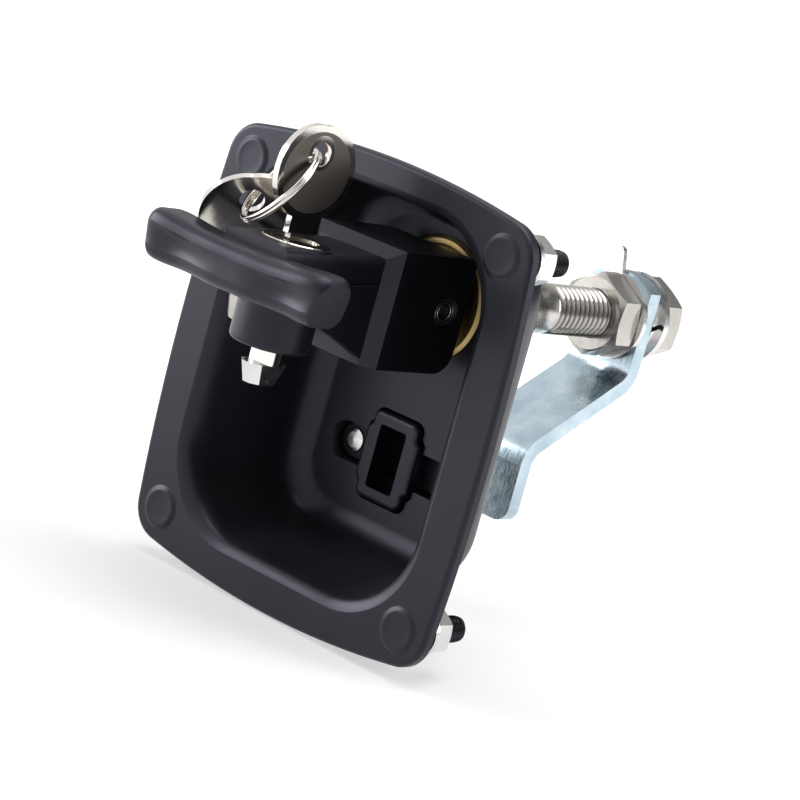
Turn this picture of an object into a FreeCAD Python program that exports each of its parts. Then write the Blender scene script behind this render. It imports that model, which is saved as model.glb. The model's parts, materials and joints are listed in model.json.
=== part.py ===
import FreeCAD, Part
import math
import os

# T-handle compression latch for a cabinet or truck-body door.
# Millimetres. +Y goes into the door, +Z is up, +X is to the right of someone who faces the latch.
# The origin is the centre of the stud pattern, on the back face of the flange.

# Recessed pan
flange_thick = 3.5
flange_half_z = 69.8
flange_side_bow = 3.34
flange_end_bow = 5.93
flange_corner_r = 11.0
flange_edge_r = 1.4
lip_half_x = 52.0
flange_side_margin = 12.5
flange_half_x = lip_half_x + flange_side_margin
lip_low_z = -59.5
lip_high_z = 63.0
lip_low_r = 29.0
lip_high_r = 28.0
lip_flare_r = 3.4
floor_y = 34.0
floor_half_x = 30.0
floor_low_z = -40.0
floor_high_z = 51.0
floor_low_r = 14.0
floor_high_r = 19.0
floor_fillet_r = 6.0
pan_wall = 3.0

# Studs and their hardware
stud_pitch_x = 102.5
stud_pitch_z = 110.0
stud_r = 4.0
stud_shank_r = 3.6
stud_end_y = 22.2
stud_root_y = -2.4
stud_root_r = 4.6
dimple_r = 5.7
dimple_high = 0.5
stud_washer_r = 8.0
stud_washer_bore_r = 4.3
stud_washer_thick = 1.6
stud_washer_y = 4.2
stud_nut_flats = 13.0
stud_nut_thick = 6.8
stud_nut_bore_r = 3.66

# Spindle, its bearing and the hinge pin of the handle
spindle_z = 29.84
pin_y = 19.5
pin_r = 4.0
pin_running_gap = 0.06
pin_seat_gap = 0.02
pin_end_inset = 0.6
pin_cup_r = 2.6
pin_cup_deep = 2.0
pin_cup_flare = 0.4
eye_thick = 12.0
eye_half_high = 8.0
spindle_r = 9.525
spindle_shoulder_y = 41.9
spindle_neck_r = 7.95
spindle_neck_cone = 1.2
spindle_neck_y = 74.5
spindle_end_y = 141.5
spindle_tip_chamfer = 1.6
draw_travel = 6.5
running_gap = 0.06
slide_gap = 0.3
bush_wall = 2.4
hub_r = 17.0
hub_flare = 3.0
hub_end_y = 48.5
thrust_washer_r = 18.8
thrust_washer_thick = 2.1
thrust_washer_y = 33.0
thrust_washer_bevel = 1.0
washer_dish_deep = 0.5
washer_dish_rim = 3.2
washer_face_rim = 2.4
thrust_washer_lift = 0.1
seal_section_r = 1.4
clip_groove_r = 8.4
clip_outer_r = 12.6
clip_thick = 1.3
back_washer_thick = 1.5
back_washer_r = 14.5

# Handle
block_half_x = 17.8
block_front_y = -7.0
block_rear_y = 27.6
block_low_z = 11.3
block_high_z = 46.3
block_chamfer_x = 4.0
block_chamfer_y = 3.4
block_edge_r = 1.2
cam_r = 7.0
ear_gap = 0.25
eye_swing_gap = 0.4
grip_y = -48.0
grip_half_x = 37.0
grip_deep = 14.6
grip_high_z = 41.4
grip_low_z = 25.8
grip_saddle = 2.0
grip_end_taper = 4.5
grip_corner_r = 4.0
grip_scoop = 2.4
grip_scoop_least = 0.2
grip_scoop_foot = 0.7
grip_scoop_start = 0.12
grip_scoop_end = 1.05
grip_round_start = 0.84
stem_half_x = 12.6
stem_high_z = 42.6
stem_low_z = 31.0
boss_r = 11.75
boss_low_z = 11.6
boss_edge_r = 1.6
lock_y = -30.5
gusset_thick = 3.2
web_thick = 6.0
web_in_boss = 1.5
web_foot_rise = 8.0
web_low_z = 15.5

# Lock cylinder, plug and tongue
lock_shell_r = 9.2
lock_collar_r = 10.2
lock_collar_thick = 1.6
lock_shell_seat_gap = 0.03
plug_r = 6.6
plug_head_down = 0.3
plug_low_z = 17.0
tail_r = 4.5
neck_low_z = 6.6
tongue_low_z = 0.6
tongue_long = 14.5
tongue_wide = 8.6
tongue_point = 2.4
tongue_taper = 0.72
tongue_flat_share = 0.4
keyway_wide = 2.3
keyway_high = 8.6
wafer_thick = 0.9
wafer_count = 5
wafer_pitch = 3.2
wafer_gap = 0.1
wafer_half_wide = 3.0
screw_r = 1.5
screw_head_r = 2.8
screw_head_high = 1.8
screw_grip = 6.5

# Key, ring and spare key
key_thick = 2.0
blade_half_wide = 4.0
blade_long = 21.0
blade_stop_z = 44.6
key_groove_deep = 0.55
neck_half_wide = 5.2
bow_half_y = 15.0
bow_low_z = 49.0
bow_high_z = 76.0
bow_fullness = 1.03
bow_hole_r = 3.7
bow_hole_down = 8.0
ring_wire_r = 0.66
ring_turn_share = 0.8
ring_r = 13.8
ring_hang = 1.0
ring_lean = 38.0
ring_heading = 206.0
ring_cross = 34.0
spare_on_ring = 220.0
spare_yaw = -30.0
spare_tilt = -25.0
spare_swing = 15.0
spare_hang = 1.4

# Keeper
keeper_drop = 1.0
keeper_face_y = 31.9
keeper_plate_thick = 4.2
keeper_back_y = 41.0
keeper_half_x = 9.4
keeper_mid_half_x = 11.0
keeper_half_z = 13.7
keeper_mid_half_z = 7.6
keeper_corner_r = 2.6
keeper_slot_half_x = 5.4
keeper_slot_half_z = 9.8
keeper_slot_r = 1.0
tongue_swing_gap = 0.45
keeper_tab_thick = 2.5
keeper_tab_half_z = 5.2
rivet_x = 19.5
rivet_head_r = 3.9
rivet_head_high = 1.1
rivet_r = 2.2
rivet_tail_r = 3.3
rivet_tail_high = 1.2
recess_gap = 0.7
pocket_end_y = 43.6

# Cam arm and its clamping stack on the threaded end of the spindle
nut_flats = 23.8
nut_thick = 9.4
inner_nut_y = 108.5
tab_washer_thick = 1.7
tab_washer_r = 14.0
tab_wide = 7.5
tab_reach = 22.0
tab_lean = 28.0
arm_thick = 5.0
arm_half_x = 12.5
arm_top_z = 44.5
arm_top_r = 21.0
arm_step_y = 40.0
arm_upper_z = 10.0
arm_lower_z = -14.6
arm_tip_z = -36.4
arm_bend_r = 5.2
arm_tip_r = 5.0
spring_washer_thick = 3.4
spring_washer_r = 12.9
spring_washer_split = 1.6
flat_washer_thick = 2.3
flat_washer_r = 14.6
stack_bore_gap = 0.15
stack_gap = 0.0
nut_bore_gap = 0.05

# Places that follow from the sizes above
spindle = FreeCAD.Vector(0, 0, spindle_z)
handle_reach = pin_y - lock_y
bolt_z = spindle_z - handle_reach
keeper_z = bolt_z - keeper_drop
stud_places = [(sx * stud_pitch_x / 2, sz * stud_pitch_z / 2) for sx in (-1, 1) for sz in (-1, 1)]
pan_depth = floor_y + flange_thick
along_y = FreeCAD.Vector(0, 1, 0)
along_z = FreeCAD.Vector(0, 0, 1)
along_x = FreeCAD.Vector(1, 0, 0)


def vec(x, y, z):
    return FreeCAD.Vector(x, y, z)


def rod(radius, y0, y1, x=0.0, z=spindle_z):
    """Cylinder along +Y."""
    return Part.makeCylinder(radius, y1 - y0, vec(x, y0, z), along_y)


def post(radius, z0, z1, x=0.0, y=lock_y):
    """Cylinder along +Z."""
    return Part.makeCylinder(radius, z1 - z0, vec(x, y, z0), along_z)


def block(x0, x1, y0, y1, z0, z1):
    return Part.makeBox(x1 - x0, y1 - y0, z1 - z0, vec(x0, y0, z0))


def prism(wire, direction):
    return Part.Face(wire).extrude(direction)


def hexagon(flats, y0, thick, x, z, turn=0.0):
    """Nut blank along +Y, with both faces chamfered as a turned nut's are."""
    corner = flats / math.sqrt(3)
    points = []
    for i in range(7):
        angle = math.radians(turn + 60 * i)
        points.append(vec(x + corner * math.cos(angle), y0, z + corner * math.sin(angle)))
    blank = prism(Part.makePolygon(points), vec(0, thick, 0))
    bevel = corner - flats / 2 * 0.97
    drop = bevel * math.tan(math.radians(30))
    profile = Part.makePolygon([
        vec(0, y0, 0), vec(corner - bevel, y0, 0), vec(corner, y0 + drop, 0),
        vec(corner, y0 + thick - drop, 0), vec(corner - bevel, y0 + thick, 0),
        vec(0, y0 + thick, 0), vec(0, y0, 0)])
    turned = Part.Face(profile).revolve(vec(0, 0, 0), along_y, 360)
    turned.translate(vec(x, 0, z))
    return blank.common(turned)


def revolved(points, x=0.0, z=spindle_z):
    """Body of revolution about a line along +Y, from (radius, y) points."""
    outline = [vec(r, y, 0) for r, y in points]
    body = Part.Face(Part.makePolygon(outline + outline[:1])).revolve(vec(0, 0, 0), along_y, 360)
    body.translate(vec(x, 0, z))
    return body


def turned_post(points, x=0.0, y=lock_y):
    """Body of revolution about a line along +Z, from (radius, z) points."""
    outline = [vec(r, 0, z) for r, z in points]
    body = Part.Face(Part.makePolygon(outline + outline[:1])).revolve(vec(0, 0, 0), along_z, 360)
    body.translate(vec(x, y, 0))
    return body


def arc(a, b, c):
    return Part.Arc(a, b, c).toShape()


def rounded_section(y, half_x, low_z, high_z, low_r, high_r):
    """Closed wire in the XZ plane: straight sides, two corner radii below and two above."""
    k = math.sqrt(0.5)
    edges = []
    corners = [(1, low_z, low_r, -1), (1, high_z, high_r, 1), (-1, high_z, high_r, 1), (-1, low_z, low_r, -1)]
    arcs = []
    for side, z, r, up in corners:
        cx = side * (half_x - r)
        cz = z - up * r
        across = vec(cx + side * r, y, cz)
        middle = vec(cx + side * r * k, y, cz + up * r * k)
        above = vec(cx, y, cz + up * r)
        arcs.append((across, middle, above))
    order = [arcs[0][::-1], arcs[1], arcs[2][::-1], arcs[3]]
    for i, (a, m, b) in enumerate(order):
        edges.append(arc(a, m, b))
        edges.append(Part.makeLine(b, order[(i + 1) % 4][0]))
    return Part.Wire(edges)


def dish_section(depth, grow=0.0):
    """Inside outline of the dish at a depth below the flange front, grown by a wall if asked."""
    above_throat = max(0.0, lip_flare_r - depth)
    flare = math.sqrt(lip_flare_r ** 2 - above_throat ** 2)
    sunk = depth - (pan_depth - floor_fillet_r)
    foot = 0.0
    if sunk > 0:
        foot = floor_fillet_r - math.sqrt(max(0.0, floor_fillet_r ** 2 - sunk ** 2))
    share = depth / pan_depth
    edges = lip_flare_r + floor_fillet_r

    def inset(total):
        return flare + foot + (total - edges) * share

    half_x = lip_half_x - inset(lip_half_x - floor_half_x) + grow
    low_z = lip_low_z + inset(floor_low_z - lip_low_z) - grow
    high_z = lip_high_z - inset(lip_high_z - floor_high_z) + grow
    low_r = lip_low_r + (floor_low_r - lip_low_r) * share + grow
    high_r = lip_high_r + (floor_high_r - lip_high_r) * share + grow
    return half_x, low_z, high_z, low_r, high_r


def dish_loft(depths, grow, shift):
    wires = []
    for depth in depths:
        half_x, low_z, high_z, low_r, high_r = dish_section(min(depth, pan_depth), grow)
        wires.append(rounded_section(depth - flange_thick + shift, half_x, low_z, high_z, low_r, high_r))
    return Part.makeLoft(wires, True, False)


def bowed_plate(half_x, half_z, bow_x, bow_z, corner_r, y0, y1):
    """Plate whose four sides are shallow arcs and whose corners are rounded."""
    x_end = half_x - bow_x
    z_end = half_z - bow_z
    corners = [vec(x_end, y0, -z_end), vec(x_end, y0, z_end), vec(-x_end, y0, z_end), vec(-x_end, y0, -z_end)]
    middles = [vec(half_x, y0, 0), vec(0, y0, half_z), vec(-half_x, y0, 0), vec(0, y0, -half_z)]
    edges = [arc(corners[i], middles[i], corners[(i + 1) % 4]) for i in range(4)]
    plate = prism(Part.Wire(edges), vec(0, y1 - y0, 0))
    upright = [e for e in plate.Edges if is_along(e, along_y)]
    return plate.makeFillet(corner_r, upright)


def is_along(edge, direction):
    if len(edge.Vertexes) != 2:
        return False
    run = edge.Vertexes[1].Point.sub(edge.Vertexes[0].Point)
    if run.Length < 1e-6 or abs(run.Length - edge.Length) > 1e-4:
        return False
    return abs(abs(run.normalize().dot(direction)) - 1) < 1e-6


def edges_at(shape, test):
    return [e for e in shape.Edges if test(e)]


def keeper_outline(y, grow):
    """Frame of the keeper, wider in the middle where the tongue swings."""
    hx = keeper_half_x + grow
    mx = keeper_mid_half_x + grow
    hz = keeper_half_z + grow
    mz = keeper_mid_half_z + grow
    slope = keeper_mid_half_x - keeper_half_x
    right = [(hx, -hz), (hx, -mz - slope), (mx, -mz), (mx, mz), (hx, mz + slope), (hx, hz)]
    left = [(-x, z) for x, z in reversed(right)]
    points = [vec(x, y, keeper_z + z) for x, z in right + left]
    return Part.makePolygon(points + points[:1])


def keeper_frame(y0, y1, grow=0.0):
    body = prism(keeper_outline(y0, grow), vec(0, y1 - y0, 0))
    hz = keeper_half_z + grow

    def at_end(e):
        return is_along(e, along_y) and abs(abs(e.CenterOfMass.z - keeper_z) - hz) < 0.01

    corners = edges_at(body, at_end)
    step = keeper_mid_half_x - keeper_half_x
    room = keeper_half_z - keeper_mid_half_z - step - 0.3
    return body.makeFillet(min(keeper_corner_r + grow, room), corners)


def keeper_tabs(y0, y1, grow=0.0):
    """Two rounded side tabs that the rivets go through."""
    half_z = keeper_tab_half_z + grow
    bar = block(-rivet_x, rivet_x, y0, y1, keeper_z - half_z, keeper_z + half_z)
    ends = [rod(half_z, y0, y1, side * rivet_x, keeper_z) for side in (-1, 1)]
    return bar.multiFuse(ends)


def make_pan():
    depths = [0.0, 0.45, 1.2, 2.2, lip_flare_r, 12.0, 22.0, pan_depth - floor_fillet_r]
    depths += [pan_depth - floor_fillet_r + floor_fillet_r * s for s in (0.45, 0.75, 0.93, 1.0)]
    inner = dish_loft(depths, 0.0, 0.0)
    outer = dish_loft(depths, pan_wall, pan_wall)
    plate = bowed_plate(flange_half_x, flange_half_z, flange_side_bow, flange_end_bow,
                        flange_corner_r, -flange_thick, 0.0)
    rim = edges_at(plate, lambda e: abs(e.BoundBox.YMax + flange_thick) < 1e-4)
    plate = plate.makeFillet(flange_edge_r, rim)
    domes = [dimple(x, z) for x, z in stud_places]
    body = plate.multiFuse([outer] + domes)
    cutters = [inner, keeper_recess(), spindle_seat()]
    cutters += [rod(stud_root_r, stud_root_y, 0.5, x, z) for x, z in stud_places]
    body = body.cut(Part.makeCompound(cutters))
    return body.removeSplitter()


def dimple(x, z):
    """Low round swelling in the flange over a stud."""
    r = dimple_r
    high = dimple_high
    y = -flange_thick
    return revolved([(0, y + 1), (r, y + 1), (r, y), (r - high, y - high), (0, y - high)], x, z)


def make_keeper_housing():
    """Cup on the back of the floor that holds the keeper and the turning tongue."""
    return behind_floor(keeper_cup()).cut(keeper_recess())


def behind_floor(shape):
    """The share of a shape that lies behind the back face of the pan's floor."""
    half = flange_half_x
    return shape.common(block(-half, half, floor_back_y(), spindle_end_y, -flange_half_z, flange_half_z))


def floor_back_y():
    return floor_y + pan_wall


def keeper_cup():
    wall = pan_wall - 0.4
    y0 = floor_y + pan_wall / 2
    y1 = keeper_back_y + wall
    frame = keeper_frame(y0, y1, recess_gap + wall)
    tabs = keeper_tabs(y0, y1, recess_gap + wall)
    cup = rod(tongue_swing_r() + wall, y0, pocket_end_y + wall, 0, bolt_z)
    return frame.multiFuse([tabs, cup])


def keeper_recess():
    frame = keeper_frame(floor_y - 1, keeper_back_y, recess_gap)
    tabs = keeper_tabs(floor_y - 1, keeper_back_y, recess_gap)
    cup = rod(tongue_swing_r(), floor_y, pocket_end_y, 0, bolt_z)
    holes = [rod(rivet_r, floor_y, pocket_end_y + 4, s * rivet_x, keeper_z) for s in (-1, 1)]
    return frame.multiFuse([tabs, cup] + holes)


def tongue_swing_r():
    return math.hypot(tongue_long / 2, tongue_wide / 2) + tongue_swing_gap


def make_spindle_hub():
    """Tubular hub on the back of the pan that carries the bush."""
    y0 = floor_back_y()
    tube = revolved([(0, y0), (hub_r + hub_flare, y0), (hub_r, y0 + hub_flare),
                     (hub_r, hub_end_y - 1), (hub_r - 1, hub_end_y), (0, hub_end_y)])
    return tube.cut(spindle_seat())


def spindle_seat():
    bush_r = bush_outer_r()
    seat_y = thrust_seat_y()
    bore = rod(bush_r, floor_y - 1, hub_end_y + 1)
    return bore.fuse(rod(thrust_washer_r + slide_gap, floor_y - 1, seat_y))


def bush_outer_r():
    return spindle_r + running_gap + bush_wall


def thrust_seat_y():
    return thrust_washer_y + thrust_washer_thick + thrust_washer_lift


def seal_y():
    return hub_end_y - 2.2 * seal_section_r


def make_mounting_studs():
    studs = []
    nut_end = stud_washer_y + stud_washer_thick + stud_nut_thick
    c = 0.9
    for x, z in stud_places:
        studs.append(revolved([
            (0, stud_root_y), (stud_root_r, stud_root_y), (stud_root_r, -0.4), (stud_shank_r, 0.0),
            (stud_shank_r, nut_end), (stud_r, nut_end + 0.4), (stud_r, stud_end_y - c),
            (stud_r - c, stud_end_y), (0, stud_end_y)], x, z))
    return Part.makeCompound(studs)


def make_stud_washers():
    rings = []
    y0 = stud_washer_y
    y1 = y0 + stud_washer_thick
    for x, z in stud_places:
        rings.append(rod(stud_washer_r, y0, y1, x, z).cut(rod(stud_washer_bore_r, y0 - 1, y1 + 1, x, z)))
    return Part.makeCompound(rings)


def make_stud_nuts():
    nuts = []
    y0 = stud_washer_y + stud_washer_thick
    for x, z in stud_places:
        blank = hexagon(stud_nut_flats, y0, stud_nut_thick, x, z, 30)
        nuts.append(blank.cut(rod(stud_nut_bore_r, y0 - 1, y0 + stud_nut_thick + 1, x, z)))
    return Part.makeCompound(nuts)


def make_spindle_bush():
    r0 = spindle_r + running_gap
    body = rod(bush_outer_r(), thrust_seat_y(), hub_end_y)
    body = body.cut(rod(r0, floor_y - 2, hub_end_y + 2))
    return body.cut(seal_groove())


def seal_groove():
    half = seal_section_r + 0.1
    y0 = seal_y() - half
    return rod(spindle_r + running_gap + 1.9, y0, y0 + 2 * half)


def make_spindle_seal():
    """Ring of round section in the groove of the bush."""
    inner = spindle_r + running_gap
    outer = inner + 1.9
    y0 = seal_y()
    half = seal_section_r
    mid = (inner + outer) / 2
    reach = (outer - inner) / 2 - 0.01
    points = []
    for i in range(12):
        angle = 2 * math.pi * i / 12
        points.append((mid + reach * math.cos(angle), y0 + half * math.sin(angle)))
    return revolved(points)


def make_lock_keeper():
    plate_back = keeper_face_y + keeper_plate_thick
    body = keeper_frame(keeper_face_y, keeper_back_y)
    front = edges_at(body, lambda e: abs(e.BoundBox.YMax - keeper_face_y) < 1e-4)
    body = body.makeFillet(1.5, front)
    tabs = keeper_tabs(keeper_back_y - keeper_tab_thick, keeper_back_y)
    body = body.fuse(tabs)
    slot = block(-keeper_slot_half_x, keeper_slot_half_x, keeper_face_y - 1, keeper_back_y + 1,
                 keeper_z - keeper_slot_half_z, keeper_z + keeper_slot_half_z)
    slot = slot.makeFillet(keeper_slot_r, edges_at(slot, lambda e: is_along(e, along_y)))
    swing = rod(tongue_swing_r(), plate_back, keeper_back_y + 1, 0, bolt_z)
    holes = [rod(rivet_r, keeper_face_y, keeper_back_y + 1, s * rivet_x, keeper_z) for s in (-1, 1)]
    body = body.cut(slot.multiFuse([swing] + holes))
    return body.removeSplitter()


def make_keeper_rivets():
    rivets = []
    tab_y = keeper_back_y - keeper_tab_thick
    back_y = keeper_back_y + pan_wall - 0.4
    for side in (-1, 1):
        rivets.append(revolved([
            (0, tab_y - rivet_head_high), (rivet_head_r * 0.62, tab_y - rivet_head_high * 0.86),
            (rivet_head_r * 0.9, tab_y - rivet_head_high * 0.5), (rivet_head_r, tab_y - 0.05),
            (rivet_head_r, tab_y), (rivet_r, tab_y), (rivet_r, back_y), (rivet_tail_r, back_y),
            (rivet_tail_r * 0.8, back_y + rivet_tail_high), (0, back_y + rivet_tail_high)],
            side * rivet_x, keeper_z))
    return Part.makeCompound(rivets)


def make_thrust_washer():
    """Brass ring under the cam, keyed on the flats of the spindle so that both turn together."""
    r = thrust_washer_r
    y0 = thrust_washer_y
    y1 = y0 + thrust_washer_thick
    b = thrust_washer_bevel
    ring = revolved([(0, y0 + washer_dish_deep), (r - washer_dish_rim, y0 + washer_dish_deep),
                     (r - washer_face_rim, y0), (r - b, y0), (r, y0 + b), (r, y1), (0, y1)])
    half_x = eye_thick / 2 + running_gap
    half_z = eye_half_high + running_gap
    key = block(-half_x, half_x, y0 - 1, y1 + 1, spindle_z - half_z, spindle_z + half_z)
    return ring.cut(key)


def make_spindle():
    flat = block(-eye_thick / 2, eye_thick / 2, pin_y, spindle_shoulder_y + 0.5,
                 spindle_z - eye_half_high, spindle_z + eye_half_high)
    flat = flat.common(rod(spindle_r, pin_y - 1, spindle_shoulder_y + 1))
    eye = Part.makeCylinder(eye_half_high, eye_thick, vec(-eye_thick / 2, pin_y, spindle_z), along_x)
    eye = eye.common(rod(spindle_r, pin_y - eye_half_high - 1, pin_y + eye_half_high + 1))
    c = spindle_tip_chamfer
    shank = revolved([
        (0, spindle_shoulder_y), (spindle_r - 0.6, spindle_shoulder_y), (spindle_r, spindle_shoulder_y + 0.6),
        (spindle_r, clip_y()), (clip_groove_r, clip_y()), (clip_groove_r, clip_y() + clip_thick),
        (spindle_r, clip_y() + clip_thick), (spindle_r, spindle_neck_y - spindle_neck_cone),
        (spindle_neck_r, spindle_neck_y),
        (spindle_neck_r, spindle_end_y - c), (spindle_neck_r - c, spindle_end_y), (0, spindle_end_y)])
    body = flat.multiFuse([eye, shank])
    start = vec(-eye_thick / 2 - 1, pin_y, spindle_z)
    bore = Part.makeCylinder(pin_r + pin_running_gap, eye_thick + 2, start, along_x)
    return body.cut(bore).removeSplitter()


def clip_y():
    """The ring stops the spindle when the handle is folded and the spindle is drawn forward."""
    return hub_end_y + back_washer_thick + draw_travel + slide_gap


def make_retaining_ring():
    y0 = clip_y()
    ring = rod(clip_outer_r, y0, y0 + clip_thick)
    ring = ring.cut(rod(clip_groove_r, y0 - 1, y0 + clip_thick + 1))
    mouth = block(-4.5, 4.5, y0 - 1, y0 + clip_thick + 1, spindle_z, spindle_z + clip_outer_r + 1)
    return ring.cut(mouth)


def make_back_washer():
    y1 = clip_y()
    ring = rod(back_washer_r, y1 - back_washer_thick, y1)
    return ring.cut(rod(spindle_r + running_gap, y1 - back_washer_thick - 1, y1 + 1))


def grip_scoop_at(along):
    """Depth of the finger scoop, which is deepest halfway along each wing."""
    share = (abs(along) - grip_scoop_start) / (grip_scoop_end - grip_scoop_start)
    return grip_scoop_least + grip_scoop * math.sin(math.pi * min(1.0, max(0.0, share))) ** 2


def grip_profile(x):
    """Closed section of the finger bar in the YZ plane at x: rounded corners and a hollow front."""
    along = x / grip_half_x
    end = max(0.0, abs(along) - grip_round_start) / (1 - grip_round_start)
    round_in = grip_corner_r * (1 - math.sqrt(max(0.0, 1 - min(1.0, end) ** 2)))
    high = grip_high_z - grip_saddle * (1 - along ** 2) - round_in * 0.8
    low = grip_low_z + round_in
    front = grip_y - grip_deep / 2 + round_in
    rear = grip_y + grip_deep / 2 - round_in
    scoop = grip_scoop_at(along)
    foot = front + grip_scoop_foot * scoop
    r = grip_corner_r
    k = r * (1 - math.sqrt(0.5))
    edges = [
        Part.makeLine(vec(x, front + r, high), vec(x, rear - r, high)),
        arc(vec(x, rear - r, high), vec(x, rear - k, high - k), vec(x, rear, high - r)),
        Part.makeLine(vec(x, rear, high - r), vec(x, rear, low + r)),
        arc(vec(x, rear, low + r), vec(x, rear - k, low + k), vec(x, rear - r, low)),
        Part.makeLine(vec(x, rear - r, low), vec(x, foot + r, low)),
        arc(vec(x, foot + r, low), vec(x, foot + k, low + k), vec(x, foot, low + r)),
        arc(vec(x, foot, low + r), vec(x, (front + foot) / 2 + scoop / 2, (high + low) / 2 - 0.5),
            vec(x, front, high - r)),
        arc(vec(x, front, high - r), vec(x, front + k, high - k), vec(x, front + r, high))]
    return Part.Wire(edges)


def make_grip():
    """Finger bar: a loft through sections along X, whose ends are cut back towards the bottom."""
    stations = [-1.0, -0.99, -0.96, -0.91, -0.84, -0.6, -0.3, 0.0, 0.3, 0.6, 0.84, 0.91, 0.96, 0.99, 1.0]
    bar = Part.makeLoft([grip_profile(s * grip_half_x) for s in stations], True, False)
    slope = grip_end_taper / (grip_high_z - grip_low_z)
    for side in (-1, 1):
        x_high = side * (grip_half_x + 0.6)
        x_low = x_high - side * slope * (grip_high_z - grip_low_z + 4)
        x_far = side * (grip_half_x + 8)
        y0 = grip_y - grip_deep
        wedge = Part.makePolygon([vec(x_high, y0, grip_high_z + 1), vec(x_far, y0, grip_high_z + 1),
                                  vec(x_far, y0, grip_low_z - 3), vec(x_low, y0, grip_low_z - 3),
                                  vec(x_high, y0, grip_high_z + 1)])
        bar = bar.cut(prism(wedge, vec(0, 2 * grip_deep, 0)))
    return bar


def make_stem():
    """Neck of the handle between the finger bar and the yoke, with the round boss of the lock."""
    y0 = grip_y + grip_deep / 2 - 5.0
    y1 = block_front_y + 3.0
    stem = block(-stem_half_x, stem_half_x, y0, y1, stem_low_z, stem_high_z)
    upper = edges_at(stem, lambda e: is_along(e, along_y) and e.CenterOfMass.z > stem_high_z - 0.1)
    stem = stem.makeFillet(3.0, upper)
    boss = post(boss_r, boss_low_z, stem_high_z)
    boss = boss.makeFillet(boss_edge_r, edges_at(boss, lambda e: abs(e.BoundBox.ZMax - boss_low_z) < 0.01))
    return stem.fuse(boss)


def gusset(side):
    """Curved rib from under the finger bar to the lower front edge of the yoke."""
    x1 = side * (block_half_x - block_chamfer_x)
    x0 = x1 - side * gusset_thick
    start = vec(x0, grip_y + 2.0, grip_low_z + 6)
    low_start = vec(x0, grip_y + 3.0, grip_low_z + 1.0)
    bend = vec(x0, lock_y + 7.0, grip_low_z - 5.5)
    foot = vec(x0, block_front_y + 2.0, block_low_z + 0.8)
    back = vec(x0, block_front_y + 2.0, stem_low_z + 4)
    edges = [Part.makeLine(start, low_start), arc(low_start, bend, foot), Part.makeLine(foot, back),
             Part.makeLine(back, start)]
    return prism(Part.Wire(edges), vec(x1 - x0, 0, 0))


def make_yoke():
    """Block with two cam-shaped ears, chamfered on the edges that face the user."""
    y0 = block_front_y
    cx = block_chamfer_x
    cy = block_chamfer_y
    plan = [(-block_half_x + cx, y0), (block_half_x - cx, y0), (block_half_x, y0 + cy),
            (block_half_x, block_rear_y), (-block_half_x, block_rear_y), (-block_half_x, y0 + cy)]
    points = [vec(x, y, block_low_z) for x, y in plan]
    high = block_high_z - block_low_z
    body = prism(Part.makePolygon(points + points[:1]), vec(0, 0, high))
    top_cut = Part.makePolygon([
        vec(-block_half_x - 1, y0 - 1, block_high_z + 1), vec(-block_half_x - 1, y0 + cy, block_high_z + 1),
        vec(-block_half_x - 1, y0 + cy, block_high_z), vec(-block_half_x - 1, y0, block_high_z - cy),
        vec(-block_half_x - 1, y0 - 1, block_high_z - cy), vec(-block_half_x - 1, y0 - 1, block_high_z + 1)])
    body = body.cut(prism(top_cut, vec(2 * block_half_x + 2, 0, 0)))
    cam_edge = edges_at(body, lambda e: is_along(e, along_x) and e.CenterOfMass.y > block_rear_y - 0.01
                        and e.CenterOfMass.z < block_low_z + 0.01)
    body = body.makeFillet(cam_r, cam_edge)
    top_edge = edges_at(body, lambda e: is_along(e, along_x) and e.CenterOfMass.y > block_rear_y - 0.01
                        and e.CenterOfMass.z > block_high_z - 0.01)
    return body.makeFillet(block_edge_r, top_edge)


def yoke_slot():
    """Room between the ears for the spindle eye, open to the rear and below."""
    half_x = eye_thick / 2 + ear_gap
    reach = eye_half_high + eye_swing_gap
    round_end = Part.makeCylinder(reach, 2 * half_x, vec(-half_x, pin_y, spindle_z), along_x)
    rear = block(-half_x, half_x, pin_y, block_rear_y + 1, block_low_z - 1, spindle_z + reach)
    below = block(-half_x, half_x, pin_y - reach, block_rear_y + 1, block_low_z - 1, spindle_z)
    return round_end.multiFuse([rear, below])


def pin_holes():
    r = pin_r + pin_seat_gap
    hole = Part.makeCylinder(r, 2 * block_half_x + 2, vec(-block_half_x - 1, pin_y, spindle_z), along_x)
    cones = []
    wide = r + 0.75
    for side in (-1, 1):
        start = vec(side * block_half_x, pin_y, spindle_z)
        cones.append(Part.makeCone(wide, r, 0.75, start, vec(-side, 0, 0)))
    return hole.multiFuse(cones)


def make_t_handle():
    body = make_yoke().multiFuse([make_grip(), make_stem(), gusset(-1), gusset(1)])
    web = block(-web_thick / 2, web_thick / 2, lock_y + boss_r - web_in_boss, block_front_y + 1,
                web_low_z + web_foot_rise, stem_low_z + 1)
    body = body.fuse(web)
    body = body.cut(yoke_slot().multiFuse([pin_holes(), lock_bore()]))
    return body.removeSplitter()


def lock_bore():
    g = lock_shell_seat_gap
    shaft = post(lock_shell_r + g, plug_low_z - 2, stem_high_z + 1)
    seat = post(lock_collar_r + g, stem_high_z - lock_collar_thick, stem_high_z + 8)
    tail = post(tail_r + running_gap, boss_low_z - 1, plug_low_z)
    return shaft.multiFuse([seat, tail])


def make_pivot_pin():
    length = 2 * (block_half_x - pin_end_inset)
    start = -length / 2
    pin = Part.makeCylinder(pin_r, length, vec(start, pin_y, spindle_z), along_x)
    cups = []
    for side in (-1, 1):
        mouth = vec(side * -start, pin_y, spindle_z)
        inward = vec(-side, 0, 0)
        cups.append(Part.makeCone(pin_cup_r + pin_cup_flare, pin_cup_r, pin_cup_deep, mouth, inward))
    return pin.cut(Part.makeCompound(cups))


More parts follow.
